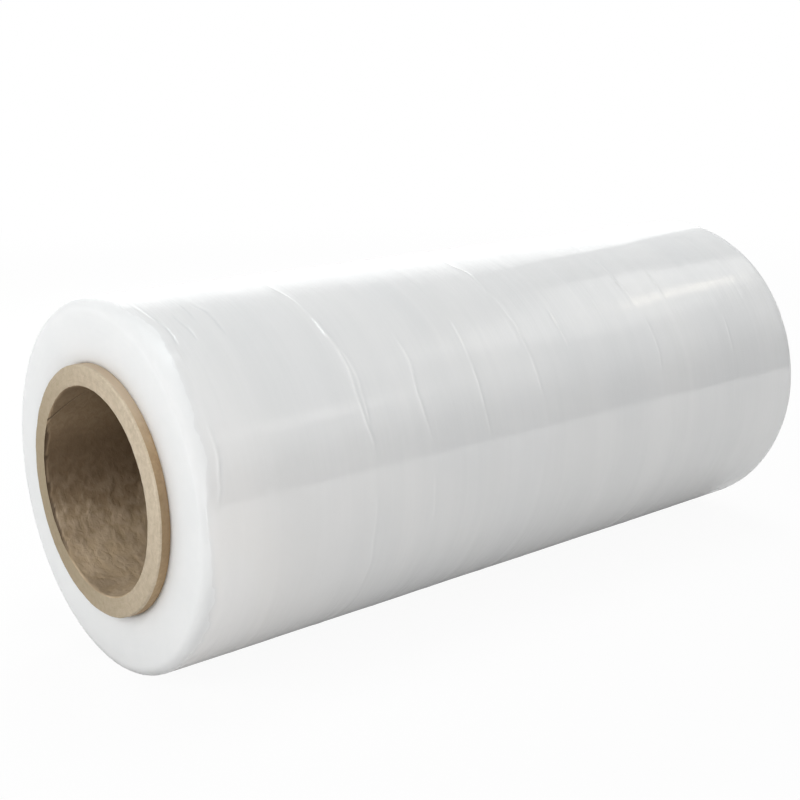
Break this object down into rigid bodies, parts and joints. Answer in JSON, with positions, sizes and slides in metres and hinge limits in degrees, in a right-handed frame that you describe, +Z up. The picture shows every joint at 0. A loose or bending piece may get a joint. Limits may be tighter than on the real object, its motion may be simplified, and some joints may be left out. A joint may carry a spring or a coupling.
{
  "type": "stretch wrap roll",
  "caption": "Hand roll of milky clear stretch wrap wound on a plain brown paper tube, lying on its side, with an open bore for a dispenser's spindle.",
  "frame": {"origin": "on the small flat that the roll rests on, under the middle of its length", "axes": "+X along the roll's axis, from the end that the picture shows to the hidden end; +Z up"},
  "size_m": [0.328, 0.1388, 0.138],
  "materials": {
    "core_paper": "matte, fibrous",
    "wound_film": "satin, milky"
  },
  "bodies": {
    "root": {"core": "core_paper", "film": "wound_film"}
  },
  "joints": []
}
